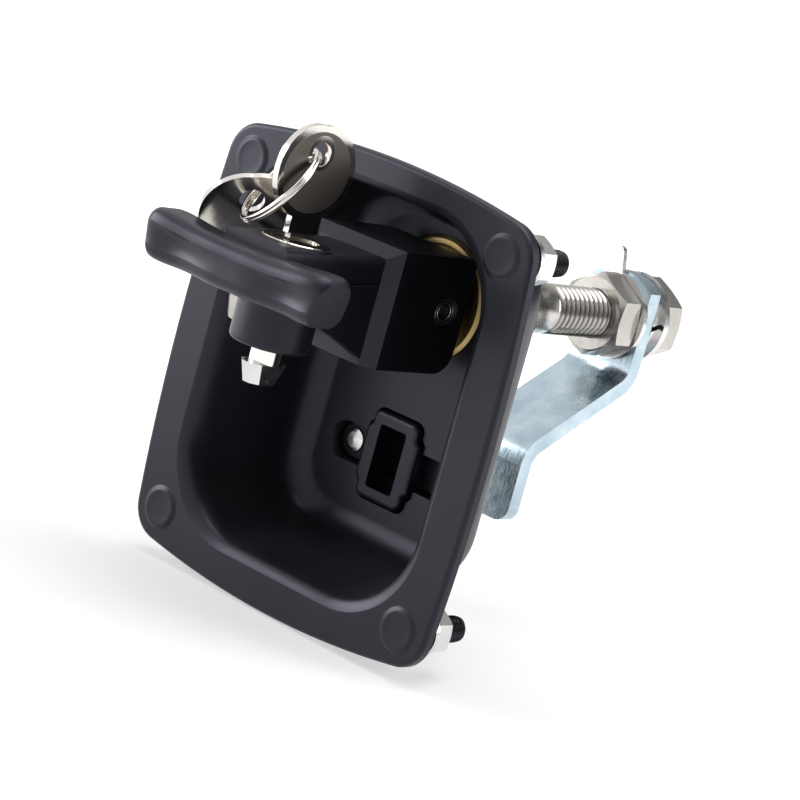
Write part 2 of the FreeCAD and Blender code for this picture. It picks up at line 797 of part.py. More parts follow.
def make_lock_shell():
    """Fixed sleeve of the lock, with a thin collar that lies flush in the stem."""
    outer = turned_post([
        (0, plug_low_z - 2), (lock_shell_r, plug_low_z - 2), (lock_shell_r, stem_high_z - lock_collar_thick),
        (lock_collar_r, stem_high_z - lock_collar_thick), (lock_collar_r, stem_high_z - 0.3),
        (lock_collar_r - 0.5, stem_high_z + 0.2), (0, stem_high_z + 0.2)])
    bore = post(plug_r + running_gap, plug_low_z - 0.1, stem_high_z + 1)
    tail = post(tail_r + running_gap, plug_low_z - 3, plug_low_z)
    return outer.cut(bore.fuse(tail))


def keyway():
    """Slot for the key blade, along Y."""
    half_x = keyway_wide / 2
    half_y = keyway_high / 2
    low_z = blade_stop_z - blade_long - 1
    return block(-half_x, half_x, lock_y - half_y, lock_y + half_y, low_z, stem_high_z + 4)


def wafer_levels():
    top = stem_high_z - 5.5
    return [top - wafer_pitch * i for i in range(wafer_count)]


def make_lock_plug():
    body = post(plug_r, plug_low_z, stem_high_z - plug_head_down)
    body = body.fuse(post(tail_r, neck_low_z, plug_low_z + 0.5))
    slots = []
    for z in wafer_levels():
        slots.append(wafer_blank(z, wafer_gap, plug_r + 1))
    thread = post(screw_r, neck_low_z - 1, screw_top_z())
    return body.cut(Part.makeCompound([keyway(), thread] + slots)).removeSplitter()


def wafer_blank(z, gap, reach):
    return block(-wafer_half_wide - gap, wafer_half_wide + gap, lock_y - reach, lock_y + reach,
                 z - gap, z + wafer_thick + gap)


def screw_top_z():
    return neck_low_z + screw_grip


def make_tumbler_wafers():
    """Thin plates in the plug, each with a window that the key passes through."""
    wafers = []
    for z in wafer_levels():
        plate = wafer_blank(z, 0.0, plug_r)
        round_edge = post(plug_r - wafer_gap, z - 1, z + wafer_thick + 1)
        wafers.append(plate.common(round_edge).cut(keyway()))
    return Part.makeCompound(wafers)


def tongue_section(z, long, wide):
    """Long hexagon with pointed ends, in the XY plane."""
    y = long / 2
    x = wide / 2
    point = y - tongue_point
    flat = x * tongue_flat_share
    plan = [(-x, -point), (-flat, -y), (flat, -y), (x, -point),
            (x, point), (flat, y), (-flat, y), (-x, point)]
    points = [vec(px, lock_y + py, z) for px, py in plan]
    return Part.makePolygon(points + points[:1])


def make_lock_tongue():
    """Bolt of the lock, tapered downwards. Turned across the slot, it catches behind the keeper."""
    top = tongue_section(neck_low_z, tongue_long, tongue_wide)
    foot = tongue_section(tongue_low_z, tongue_long * tongue_taper, tongue_wide * tongue_taper)
    body = Part.makeLoft([top, foot], True, True)
    hole = post(screw_r, tongue_low_z - 1, neck_low_z + 1)
    sink = post(screw_head_r + 0.1, tongue_low_z - 1, tongue_low_z + screw_head_high)
    return body.cut(hole.fuse(sink))


def make_tongue_screw():
    z0 = tongue_low_z + 0.1
    z1 = tongue_low_z + screw_head_high
    return turned_post([(0, z0), (screw_head_r - 0.5, z0), (screw_head_r, z0 + 0.5), (screw_head_r, z1),
                        (screw_r, z1), (screw_r, screw_top_z()), (0, screw_top_z())])


def flat_key():
    """Key blank that lies in the YZ plane with its blade down: bow, shoulder and blade."""
    x0 = -key_thick / 2
    across = vec(key_thick, 0, 0)
    mid_z = (bow_low_z + bow_high_z) / 2
    half_z = (bow_high_z - bow_low_z) / 2
    diagonal = math.sqrt(0.5) * bow_fullness
    ends = [(bow_half_y, 0), (0, half_z), (-bow_half_y, 0), (0, -half_z)]
    edges = []
    for i, (sy, sz) in enumerate([(1, 1), (-1, 1), (-1, -1), (1, -1)]):
        middle = vec(x0, lock_y + sy * bow_half_y * diagonal, mid_z + sz * half_z * diagonal)
        start = vec(x0, lock_y + ends[i][0], mid_z + ends[i][1])
        end = vec(x0, lock_y + ends[(i + 1) % 4][0], mid_z + ends[(i + 1) % 4][1])
        edges.append(arc(start, middle, end))
    bow = prism(Part.Wire(edges), across)
    w = blade_half_wide
    n = neck_half_wide
    tip = blade_stop_z - blade_long
    outline = [(-n, bow_low_z + 3), (-n, blade_stop_z), (-w, blade_stop_z), (-w, tip + 3), (-0.8, tip),
               (0.8, tip), (w, tip + 3), (w, blade_stop_z), (n, blade_stop_z), (n, bow_low_z + 3)]
    points = [vec(x0, lock_y + y, z) for y, z in outline]
    blade = prism(Part.makePolygon(points + points[:1]), across)
    hole = Part.makeCylinder(bow_hole_r, key_thick + 2, vec(x0 - 1, lock_y, hole_z()), along_x)
    groove = block(x0 - 1, x0 + key_groove_deep, lock_y - 0.7, lock_y + 0.7, tip + 3, blade_stop_z + 3)
    return bow.fuse(blade).cut(hole.fuse(groove)).removeSplitter()


def hole_z():
    return bow_high_z - bow_hole_down


def make_key():
    return flat_key()


def ring_frame():
    """Middle of the ring, the way down to it from the key's hole, and its wire's way through the hole."""
    lean = math.radians(ring_lean)
    heading = math.radians(ring_heading)
    cross = math.radians(ring_cross)
    down = vec(math.sin(lean) * math.cos(heading), math.sin(lean) * math.sin(heading), -math.cos(lean))
    wire = vec(math.cos(cross), -math.sin(cross), 0)
    wire = (wire - down * wire.dot(down)).normalize()
    top = vec(0, lock_y, hole_z() - ring_hang)
    return top + down * ring_r, down, wire


def make_key_ring():
    """Split ring: two turns of wire that lie against each other."""
    middle, down, wire = ring_frame()
    axis = down.cross(wire)
    turns = []
    for side in (-1, 1):
        centre = middle + axis * (side * ring_wire_r * ring_turn_share)
        turns.append(Part.makeTorus(ring_r, ring_wire_r, centre, axis))
    return turns[0].fuse(turns[1])


def spare_axes():
    """Directions across the spare key's plate and down its blade."""
    yaw = math.radians(spare_yaw)
    tilt = math.radians(spare_tilt)
    swing = math.radians(spare_swing)
    across = vec(math.cos(yaw) * math.cos(tilt), math.sin(yaw) * math.cos(tilt), math.sin(tilt))
    level = vec(-math.sin(yaw), math.cos(yaw), 0)
    up = across.cross(level)
    return across, level * math.sin(swing) - up * math.cos(swing)


def make_spare_key():
    """Second key, which hangs from the low side of the ring behind the finger bar."""
    middle, down, wire = ring_frame()
    place = math.radians(spare_on_ring)
    inward = down * math.cos(place) - wire * math.sin(place)
    across, blade_way = spare_axes()
    in_plane = (inward - across * inward.dot(across)).normalize()
    hole = middle - inward * ring_r - in_plane * spare_hang
    level = across.cross(blade_way)
    turn = FreeCAD.Matrix(across.x, level.x, -blade_way.x, hole.x,
                          across.y, level.y, -blade_way.y, hole.y,
                          across.z, level.z, -blade_way.z, hole.z, 0, 0, 0, 1)
    body = flat_key()
    body.translate(vec(0, -lock_y, -hole_z()))
    body.Placement = FreeCAD.Placement(turn).multiply(body.Placement)
    return body


def make_inner_nut():
    blank = hexagon(nut_flats, inner_nut_y, nut_thick, 0, spindle_z, 90)
    return blank.cut(rod(spindle_neck_r + nut_bore_gap, inner_nut_y - 1, inner_nut_y + nut_thick + 1))


def tab_washer_y():
    return inner_nut_y + nut_thick + stack_gap


def arm_y():
    return tab_washer_y() + tab_washer_thick + stack_gap


def spring_washer_y():
    return arm_y() + arm_thick + stack_gap


def flat_washer_y():
    return spring_washer_y() + spring_washer_thick + stack_gap


def outer_nut_y():
    return flat_washer_y() + flat_washer_thick + stack_gap


def stack_bore(y0, y1):
    return rod(spindle_neck_r + stack_bore_gap, y0 - 1, y1 + 1)


def make_tab_washer():
    """Lock washer with one ear that leans back over the inner nut."""
    y0 = tab_washer_y()
    y1 = y0 + tab_washer_thick
    ring = rod(tab_washer_r, y0, y1)
    ear = block(-tab_wide / 2, tab_wide / 2, y0, y1, spindle_z, spindle_z + tab_reach)
    tip = edges_at(ear, lambda e: is_along(e, along_y) and e.CenterOfMass.z > spindle_z + tab_reach - 0.1)
    ear = ear.makeFillet(2.2, tip)
    ear.rotate(spindle, along_y, -tab_lean / 2)
    return ring.fuse(ear).cut(stack_bore(y0, y1)).removeSplitter()


def make_cam_arm():
    """Bar bent twice so that its tip lies forward of the nuts."""
    y1 = arm_y() + arm_thick
    y_step = y1 - arm_step_y
    t = arm_thick
    run = math.atan2(arm_step_y, arm_upper_z - arm_lower_z)
    shift = t * math.tan(run / 2)
    outer = [(y1, arm_top_z), (y1, arm_upper_z), (y_step, arm_lower_z), (y_step, arm_tip_z)]
    inner = [(y_step - t, arm_tip_z), (y_step - t, arm_lower_z + shift),
             (y1 - t, arm_upper_z + shift), (y1 - t, arm_top_z)]
    points = [vec(-arm_half_x, y, z) for y, z in outer + inner]
    bar = prism(Part.makePolygon(points + points[:1]), vec(2 * arm_half_x, 0, 0))

    def near(e, y, z):
        c = e.CenterOfMass
        return is_along(e, along_x) and abs(c.y - y) < 0.05 and abs(c.z - z) < 0.05

    outside = arm_bend_r + t
    bends = [(outer[1], outside), (inner[2], arm_bend_r), (outer[2], arm_bend_r), (inner[1], outside)]
    for (y, z), radius in bends:
        bar = bar.makeFillet(radius, edges_at(bar, lambda e: near(e, y, z)))
    tip = edges_at(bar, lambda e: is_along(e, along_y) and e.CenterOfMass.z < arm_tip_z + 0.1)
    bar = bar.makeFillet(arm_tip_r, tip)
    crown = rod(arm_top_r, y1 - t - 1, y1 + 1, 0, arm_top_z - arm_top_r)
    below = block(-arm_half_x - 1, arm_half_x + 1, y_step - t - 1, y1 + 1,
                  arm_tip_z - 1, arm_top_z - arm_top_r)
    bar = bar.common(crown.fuse(below))
    return bar.cut(stack_bore(y1 - t, y1)).removeSplitter()


def make_spring_washer():
    y0 = spring_washer_y()
    y1 = y0 + spring_washer_thick
    ring = rod(spring_washer_r, y0, y1).cut(stack_bore(y0, y1))
    split = block(0, spring_washer_r + 1, y0 - 1, y1 + 1, spindle_z - spring_washer_split / 2,
                  spindle_z + spring_washer_split / 2)
    split.rotate(vec(0, (y0 + y1) / 2, spindle_z), along_x, 18)
    return ring.cut(split)


def make_flat_washer():
    y0 = flat_washer_y()
    y1 = y0 + flat_washer_thick
    return rod(flat_washer_r, y0, y1).cut(stack_bore(y0, y1))


def make_outer_nut():
    y0 = outer_nut_y()
    blank = hexagon(nut_flats, y0, nut_thick, 0, spindle_z, 90)
    return blank.cut(rod(spindle_neck_r + nut_bore_gap, y0 - 1, y0 + nut_thick + 1))


nodes = {
    "pan": make_pan,
    "spindle_hub": make_spindle_hub,
    "keeper_housing": make_keeper_housing,
    "mounting_studs": make_mounting_studs,
    "stud_washers": make_stud_washers,
    "stud_nuts": make_stud_nuts,
    "lock_keeper": make_lock_keeper,
    "keeper_rivets": make_keeper_rivets,
    "spindle_bush": make_spindle_bush,
    "spindle_seal": make_spindle_seal,
    "thrust_washer": make_thrust_washer,
    "spindle": make_spindle,
    "back_washer": make_back_washer,
    "retaining_ring": make_retaining_ring,
    "t_handle": make_t_handle,
    "pivot_pin": make_pivot_pin,
    "lock_shell": make_lock_shell,
    "lock_plug": make_lock_plug,
    "tumbler_wafers": make_tumbler_wafers,
    "lock_tongue": make_lock_tongue,
    "tongue_screw": make_tongue_screw,
    "key": make_key,
    "key_ring": make_key_ring,
    "spare_key": make_spare_key,
    "inner_nut": make_inner_nut,
    "tab_washer": make_tab_washer,
    "cam_arm": make_cam_arm,
    "spring_washer": make_spring_washer,
    "flat_washer": make_flat_washer,
    "outer_nut": make_outer_nut,
}

os.makedirs("parts", exist_ok=True)
for name, make in nodes.items():
    shape = make()
    shape.exportStep("parts/" + name + ".step")
    print(name, len(shape.Solids), round(shape.Volume, 1), shape.isValid())
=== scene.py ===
import json
import math

import bmesh
import bpy
from mathutils import Euler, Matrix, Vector


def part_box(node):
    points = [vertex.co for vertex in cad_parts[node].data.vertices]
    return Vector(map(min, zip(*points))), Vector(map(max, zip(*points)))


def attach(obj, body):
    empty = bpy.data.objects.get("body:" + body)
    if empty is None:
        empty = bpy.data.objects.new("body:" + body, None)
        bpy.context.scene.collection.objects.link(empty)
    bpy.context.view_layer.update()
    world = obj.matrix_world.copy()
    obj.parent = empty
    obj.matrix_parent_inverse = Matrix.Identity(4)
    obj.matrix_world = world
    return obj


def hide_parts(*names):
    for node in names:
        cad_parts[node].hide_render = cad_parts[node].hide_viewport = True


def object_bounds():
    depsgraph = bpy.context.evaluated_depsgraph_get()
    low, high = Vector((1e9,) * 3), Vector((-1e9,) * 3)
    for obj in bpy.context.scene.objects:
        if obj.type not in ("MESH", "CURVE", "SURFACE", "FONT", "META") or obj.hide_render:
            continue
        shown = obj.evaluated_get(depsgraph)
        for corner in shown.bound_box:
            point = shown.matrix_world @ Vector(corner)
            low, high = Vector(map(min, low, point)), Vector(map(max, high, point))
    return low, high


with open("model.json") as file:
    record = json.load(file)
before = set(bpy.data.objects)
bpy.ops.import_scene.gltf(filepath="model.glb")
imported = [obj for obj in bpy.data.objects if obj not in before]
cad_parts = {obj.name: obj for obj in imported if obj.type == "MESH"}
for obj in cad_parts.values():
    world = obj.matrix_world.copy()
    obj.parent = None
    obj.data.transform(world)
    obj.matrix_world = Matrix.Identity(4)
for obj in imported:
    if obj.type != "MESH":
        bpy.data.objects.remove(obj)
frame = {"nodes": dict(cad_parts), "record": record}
cad_low, cad_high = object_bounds()
nodes = frame["nodes"]
mm = 0.001

# Camera, at the photograph's viewing angle
camera_place = Vector((0.6045, -0.6753, 0.1715))
camera_turn = (79.03, -15.14, 43.46)
camera_lens = 143.1
camera_sensor = 36.0
camera_clip = (0.05, 20.0)

# Sizes of the pieces that are made here
spindle_z = 29.84 * mm
thread_start = 82.5 * mm
thread_pitch = 2.31 * mm
thread_crest = 7.93 * mm
thread_root = 6.75 * mm
thread_sides = 56
thread_steps = 6
thread_lead_in = 1.5
thread_steep = 1.35
thread_root_flat = 0.15
thread_end_high = 0.5
stud_pitch = 1.25 * mm
stud_crest = 3.98 * mm
stud_root = 3.3 * mm
stud_sides = 32
stud_x = 51.25 * mm
stud_z = 55.0 * mm
stud_start = -0.4 * mm
stud_end = 22.2 * mm
stud_places = [(x, z) for x in (-stud_x, stud_x) for z in (-stud_z, stud_z)]
bow_hole_down = 8.0 * mm
bow_hole_rim = 5.0 * mm
bow_middle_z = 62.5 * mm
bow_half_y = 15.0 * mm
bow_half_z = 13.5 * mm
bow_field_share = 0.86
dimple_front = -3.5 * mm
dimple_sides = 56
# Rings of bright wire laid on the hinge pin's rims as painted highlights
pin_ring_r = 3.75 * mm
pin_cup_ring_r = 2.75 * mm
pin_ring_wire_r = 0.17 * mm
pin_ring_sunk = 0.6
pin_ring_sides = 48
pin_ring_section = 10

# Distance from a dimple's middle and height above the flange, in millimetres
dimple_profile = (
    (0.0, 0.52), (2.4, 0.52), (3.8, 0.54), (4.6, 0.62), (5.1, 0.66), (5.5, 0.63),
    (5.9, 0.48), (6.2, 0.28), (6.5, 0.11), (6.8, 0.02), (7.0, -0.05),
)

# Largest angle between faces that shade as one smooth surface, in degrees
smooth_turned = 35.0
smooth_thread = 50.0
smooth_round = 60.0

# Nodes whose finish is not the one of their material slot
special_finishes = {"key": "key_bow"}

# Floor and surrounding light
floor_gap = 0.4 * mm
floor_reach = 6.0
floor_glow_near = 0.5
fade_start = 0.16
fade_end = 0.5
world_fill = 0.12
lit_side = (-0.62, -0.50, 0.60)
dim_side_level = 0.10
dim_side_end = -0.15
lit_side_start = 0.55
lamp_target = (0.0, 0.02, 0.0)
lamps = (
    ("top_box", (0.05, 0.02, 1.0), (0.9, 0.9), 8.0),
    ("left_box", (-0.95, -0.55, 0.22), (0.6, 0.9), 10.0),
    ("right_box", (0.9, 0.65, 0.45), (0.6, 0.8), 6.0),
)


def material(name):
    mat = bpy.data.materials.new(name)
    mat.use_nodes = True
    tree = mat.node_tree
    return mat, tree, tree.nodes["Principled BSDF"]


def object_space(tree, scale):
    coords = tree.nodes.new("ShaderNodeTexCoord")
    mapping = tree.nodes.new("ShaderNodeMapping")
    mapping.inputs["Scale"].default_value = scale
    tree.links.new(coords.outputs["Object"], mapping.inputs["Vector"])
    return mapping.outputs["Vector"]


def noise(tree, size_mm, detail=3.0, roughness=0.5, stretch=(1, 1, 1)):
    """Noise whose features are about size_mm across."""
    base = 1000.0 / size_mm
    vector = object_space(tree, tuple(base * s for s in stretch))
    node = tree.nodes.new("ShaderNodeTexNoise")
    node.inputs["Scale"].default_value = 1.0
    node.inputs["Detail"].default_value = detail
    node.inputs["Roughness"].default_value = roughness
    tree.links.new(vector, node.inputs["Vector"])
    return node.outputs["Fac"]


def mapped(tree, source, low, high, from_low=0.3, from_high=0.7):
    node = tree.nodes.new("ShaderNodeMapRange")
    node.inputs["From Min"].default_value = from_low
    node.inputs["From Max"].default_value = from_high
    node.inputs["To Min"].default_value = low
    node.inputs["To Max"].default_value = high
    tree.links.new(source, node.inputs["Value"])
    return node.outputs["Result"]


def chosen(tree, switch, off, on):
    """One value where a switch is 0 and another where it is 1."""
    mix = tree.nodes.new("ShaderNodeMix")
    tree.links.new(switch, mix.inputs["Factor"])
    for name, value in (("A", off), ("B", on)):
        if isinstance(value, bpy.types.NodeSocket):
            tree.links.new(value, mix.inputs[name])
        else:
            mix.inputs[name].default_value = value
    return mix.outputs["Result"]


def blended(tree, source, first, second, from_low=0.3, from_high=0.7):
    ramp = tree.nodes.new("ShaderNodeValToRGB")
    ramp.color_ramp.elements[0].position = from_low
    ramp.color_ramp.elements[1].position = from_high
    ramp.color_ramp.elements[0].color = (*first, 1)
    ramp.color_ramp.elements[1].color = (*second, 1)
    tree.links.new(source, ramp.inputs["Fac"])
    return ramp.outputs["Color"]


def bumped(tree, shader, source, depth_mm, strength=1.0):
    bump = tree.nodes.new("ShaderNodeBump")
    bump.inputs["Distance"].default_value = depth_mm * mm
    bump.inputs["Strength"].default_value = strength
    tree.links.new(source, bump.inputs["Height"])
    tree.links.new(bump.outputs["Normal"], shader.inputs["Normal"])


def coated_black(name, dark, light, rough, grain_mm, grain_deep):
    """Satin black coating, with a fine orange-peel skin and slightly uneven gloss."""
    mat, tree, shader = material(name)
    cloud = noise(tree, 22.0, 2.0)
    tree.links.new(blended(tree, cloud, dark, light), shader.inputs["Base Color"])
    tree.links.new(mapped(tree, cloud, rough - 0.03, rough + 0.04), shader.inputs["Roughness"])
    shader.inputs["Specular IOR Level"].default_value = 0.37
    shader.inputs["Specular Tint"].default_value = (0.80, 0.82, 1.0, 1.0)
    bumped(tree, shader, noise(tree, grain_mm, 2.0), grain_deep)
    return mat


def metal(name, dark, light, rough, streak=(1, 1, 1), streak_mm=3.0, depth_mm=0.01):
    """Plated or turned metal, with streaks along the working direction."""
    mat, tree, shader = material(name)
    shader.inputs["Metallic"].default_value = 1.0
    cloud = noise(tree, 9.0, 4.0)
    lines = noise(tree, streak_mm, 5.0, 0.6, streak)
    tree.links.new(blended(tree, cloud, dark, light), shader.inputs["Base Color"])
    tree.links.new(mapped(tree, lines, *rough), shader.inputs["Roughness"])
    bumped(tree, shader, lines, depth_mm)
    return mat


def radius_from(tree, centre, across):
    """Distance from centre, with each direction scaled by its number in across."""
    vector = object_space(tree, (1, 1, 1))
    shift = tree.nodes.new("ShaderNodeVectorMath")
    shift.operation = "SUBTRACT"
    tree.links.new(vector, shift.inputs[0])
    shift.inputs[1].default_value = centre
    flat = tree.nodes.new("ShaderNodeVectorMath")
    flat.operation = "MULTIPLY"
    tree.links.new(shift.outputs["Vector"], flat.inputs[0])
    flat.inputs[1].default_value = across
    length = tree.nodes.new("ShaderNodeVectorMath")
    length.operation = "LENGTH"
    tree.links.new(flat.outputs["Vector"], length.inputs[0])
    return length.outputs["Value"]


def threaded_metal(name, root_painted_shade, crest_color, centre, root, crest):
    """Cut thread: rougher in its roots, where its colour is darkened as painted shade, and bright
    on its crests and on its faced end.
    """
    mat, tree, shader = material(name)
    shader.inputs["Metallic"].default_value = 1.0
    far = radius_from(tree, centre, (1, 0, 1))
    bright = tree.nodes.new("ShaderNodeMath")
    bright.operation = "MAXIMUM"
    tree.links.new(mapped(tree, far, 0.0, 1.0, root, crest), bright.inputs[0])
    faced_end = mapped(tree, far, 1.0, 0.0, root - 0.5 * mm, root - 0.1 * mm)
    tree.links.new(faced_end, bright.inputs[1])
    height = bright.outputs["Value"]
    # Painted shade: the roots get the dark colour, the crests and the faced end the bright one.
    color = blended(tree, height, root_painted_shade, crest_color, 0.05, 0.95)
    tree.links.new(color, shader.inputs["Base Color"])
    tree.links.new(mapped(tree, height, 0.45, 0.20, 0.0, 1.0), shader.inputs["Roughness"])
    bumped(tree, shader, noise(tree, 0.7, 4.0), 0.01)
    return mat


def bow_metal(name, rim, field, hole_centre, oval_centre):
    """Key blank: a rougher, frosted oval field coloured dark as a painted dark reflection, with a
    polished edge and a polished ring at its hole.
    """
    mat, tree, shader = material(name)
    shader.inputs["Metallic"].default_value = 1.0
    oval = radius_from(tree, oval_centre, (0, mm / bow_half_y, mm / bow_half_z))
    edge = bow_field_share * mm
    inside = mapped(tree, oval, 1.0, 0.0, edge, edge * 1.02)
    hole = radius_from(tree, hole_centre, (0, 1, 1))
    off_hole = mapped(tree, hole, 0.0, 1.0, bow_hole_rim, bow_hole_rim * 1.04)
    both = tree.nodes.new("ShaderNodeMath")
    both.operation = "MULTIPLY"
    tree.links.new(off_hole, both.inputs[0])
    tree.links.new(inside, both.inputs[1])
    mask = both.outputs["Value"]
    # Painted dark reflection: the field gets the dark colour, the edge and the hole ring the bright
    # one.
    tree.links.new(blended(tree, mask, rim, field, 0.1, 0.9), shader.inputs["Base Color"])
    tree.links.new(mapped(tree, mask, 0.12, 0.42, 0.0, 1.0), shader.inputs["Roughness"])
    bumped(tree, shader, noise(tree, 0.35, 3.0), 0.01)
    return mat


def rubber(name, color):
    mat, tree, shader = material(name)
    grain = noise(tree, 0.6, 3.0)
    light = tuple(c * 1.4 for c in color)
    tree.links.new(blended(tree, grain, color, light), shader.inputs["Base Color"])
    shader.inputs["Roughness"].default_value = 0.6
    bumped(tree, shader, grain, 0.02)
    return mat


turned = (1, 9, 1)
drawn = (1, 3, 1)
rolled = (6, 1, 1)
even = (1, 1, 1)
coatings = {
    "black_coat": ((0.012, 0.012, 0.017), (0.016, 0.016, 0.021), 0.36, 0.8, 0.006),
    "black_steel": ((0.010, 0.010, 0.011), (0.016, 0.016, 0.017), 0.32, 0.5, 0.006),
}
metals = {
    "bright_steel": ((0.66, 0.65, 0.64), (0.78, 0.77, 0.76), (0.16, 0.28)),
    "spindle_steel": ((0.50, 0.48, 0.46), (0.62, 0.60, 0.57), (0.20, 0.32), turned, 1.2),
    "nut_steel": ((0.38, 0.36, 0.34), (0.50, 0.48, 0.45), (0.16, 0.28), drawn, 1.6),
    "bearing_bronze": ((0.45, 0.30, 0.14), (0.52, 0.36, 0.18), (0.40, 0.50)),
    "brass": ((0.90, 0.62, 0.24), (0.98, 0.74, 0.36), (0.30, 0.42), even, 0.8),
    "dark_pin": ((0.09, 0.09, 0.10), (0.15, 0.15, 0.16), (0.28, 0.40)),
    "nickel": ((0.68, 0.64, 0.59), (0.78, 0.74, 0.70), (0.10, 0.20), even, 5.0, 0.006),
    "zinc_blue": ((0.36, 0.46, 0.53), (0.52, 0.62, 0.68), (0.18, 0.34), rolled, 4.0, 0.012),
}
seal_color = (0.012, 0.012, 0.012)
# Thread colours: a dark root colour as painted shade in the grooves, and the steel's own colour on
# the crests.
thread_root_painted_shade = (0.025, 0.02, 0.018)
thread_crest_color = (0.50, 0.48, 0.45)
bow_rim_color = (0.74, 0.70, 0.66)
# The bow field's dark colour is a painted dark reflection; the rim colour is the key's own bright
# metal.
bow_field_painted_dark = (0.15, 0.135, 0.12)

key_low, key_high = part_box("key")
key_mid_y = (key_low.y + key_high.y) / 2
bow_hole = (0.0, key_mid_y, key_high.z - bow_hole_down)
bow_middle = (0.0, key_mid_y, bow_middle_z)

finishes = {name: coated_black(name, *look) for name, look in coatings.items()}
finishes.update({name: metal(name, *look) for name, look in metals.items()})
finishes["seal_rubber"] = rubber("seal_rubber", seal_color)
finishes["thread_cut"] = threaded_metal("thread_cut", thread_root_painted_shade, thread_crest_color,
                                        (0.0, 0.0, spindle_z), thread_root, thread_crest)
finishes["key_bow"] = bow_metal("key_bow", bow_rim_color, bow_field_painted_dark, bow_hole, bow_middle)


def dress(obj, finish):
    obj.data.materials.clear()
    obj.data.materials.append(finishes[finish])


def dress_nodes():
    for part in frame["record"]["subparts"]:
        if part["node"] in nodes:
            finish = special_finishes.get(part["node"], part["material_slot"])
            dress(nodes[part["node"]], finish)


def add_piece(name, body_name, mesh, finish, smooth_angle, look=None):
    """Puts a mesh into the scene on a body; look is its finish where that is not its slot's."""
    obj = bpy.data.objects.new(name, mesh)
    bpy.context.collection.objects.link(obj)
    dress(obj, look or finish)
    mesh.polygons.foreach_set("use_smooth", [True] * len(mesh.polygons))
    mesh.set_sharp_from_angle(angle=math.radians(smooth_angle))
    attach(obj, body_name)
    return obj


def mesh_from(bm, name):
    mesh = bpy.data.meshes.new(name)
    bm.normal_update()
    bm.to_mesh(mesh)
    bm.free()
    return mesh


def thread_rod(bm, x, z, start, end, root, crest, pitch, sides):
    """Rod along +Y with a helical V thread, a run-out at its start and a rounded end."""
    rows = int(round((end - start) / pitch * thread_steps))
    lead_in = thread_lead_in * pitch
    rings = []
    for row in range(rows + 1):
        y = start + (end - start) * row / rows
        ring = []
        for side in range(sides):
            turn = side / sides
            phase = ((y - start) / pitch - turn) % 1.0
            ridge = 1.0 - abs(2.0 * phase - 1.0)
            height = min(1.0, max(0.0, ridge * thread_steep - thread_root_flat))
            fade_in = min(1.0, (y - start) / lead_in)
            end_room = max(0.0, (end - y) / lead_in)
            fade_out = min(1.0, end_room * (1.0 - thread_end_high) + thread_end_high)
            radius = root + (crest - root) * height
            radius = crest + (radius - crest) * fade_in
            radius = min(radius, root + (crest - root) * fade_out)
            angle = 2 * math.pi * turn
            place = (x + radius * math.cos(angle), y, z + radius * math.sin(angle))
            ring.append(bm.verts.new(place))
        rings.append(ring)
    for low, high in zip(rings, rings[1:]):
        for i in range(sides):
            j = (i + 1) % sides
            bm.faces.new((low[i], high[i], high[j], low[j]))
    bm.faces.new(rings[0])
    bm.faces.new(tuple(reversed(rings[-1])))


def make_spindle():
    """The plain front of the spindle, cut from the solid, and the threaded end as a real helix."""
    bm = bmesh.new()
    bm.from_mesh(nodes["spindle"].data)
    bmesh.ops.remove_doubles(bm, verts=bm.verts, dist=1e-6)
    geometry = bm.verts[:] + bm.edges[:] + bm.faces[:]
    cut = bmesh.ops.bisect_plane(bm, geom=geometry, plane_co=(0, thread_start, 0),
                                 plane_no=(0, 1, 0), clear_outer=True)
    rim = [e for e in cut["geom_cut"] if isinstance(e, bmesh.types.BMEdge)]
    bmesh.ops.holes_fill(bm, edges=rim)
    front = add_piece("spindle_shank", "spindle_body", mesh_from(bm, "spindle_shank"),
                      "spindle_steel", smooth_turned)
    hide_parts("spindle")
    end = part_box("spindle")[1].y
    bm = bmesh.new()
    thread_rod(bm, 0.0, spindle_z, thread_start, end,
               thread_root, thread_crest, thread_pitch, thread_sides)
    thread = add_piece("spindle_thread", "spindle_body", mesh_from(bm, "spindle_thread"),
                       "spindle_steel", smooth_thread, "thread_cut")
    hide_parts("spindle")


def make_studs():
    bm = bmesh.new()
    for x, z in stud_places:
        thread_rod(bm, x, z, stud_start, stud_end, stud_root, stud_crest, stud_pitch, stud_sides)
    studs = add_piece("stud_threads", "pan_body", mesh_from(bm, "stud_threads"),
                      "black_steel", smooth_thread)
    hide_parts("mounting_studs")


def make_dimples():
    """Low round swellings, with soft rims, that the welded studs leave in the flange."""
    bm = bmesh.new()
    for x, z in stud_places:
        top = bm.verts.new((x, dimple_front - dimple_profile[0][1] * mm, z))
        rings = []
        for far, rise in dimple_profile[1:]:
            ring = []
            for side in range(dimple_sides):
                angle = 2 * math.pi * side / dimple_sides
                place = (x + far * mm * math.cos(angle), dimple_front - rise * mm,
                         z + far * mm * math.sin(angle))
                ring.append(bm.verts.new(place))
            rings.append(ring)
        for i in range(dimple_sides):
            j = (i + 1) % dimple_sides
            bm.faces.new((top, rings[0][i], rings[0][j]))
            for low, high in zip(rings, rings[1:]):
                bm.faces.new((low[i], high[i], high[j], low[j]))
    add_piece("stud_dimples", "pan_body", mesh_from(bm, "stud_dimples"), "black_coat", smooth_round)


def turned_ring(bm, x, y, z, ring_r, wire_r):
    """Ring of round wire whose axis is parallel to X."""
    rows = []
    for i in range(pin_ring_sides):
        around = 2 * math.pi * i / pin_ring_sides
        row = []
        for j in range(pin_ring_section):
            across = 2 * math.pi * j / pin_ring_section
            far = ring_r + wire_r * math.cos(across)
            place = (x + wire_r * math.sin(across),
                     y + far * math.cos(around), z + far * math.sin(around))
            row.append(bm.verts.new(place))
        rows.append(row)
    for i in range(pin_ring_sides):
        first, second = rows[i], rows[(i + 1) % pin_ring_sides]
        for j in range(pin_ring_section):
            k = (j + 1) % pin_ring_section
            bm.faces.new((first[j], second[j], second[k], first[k]))


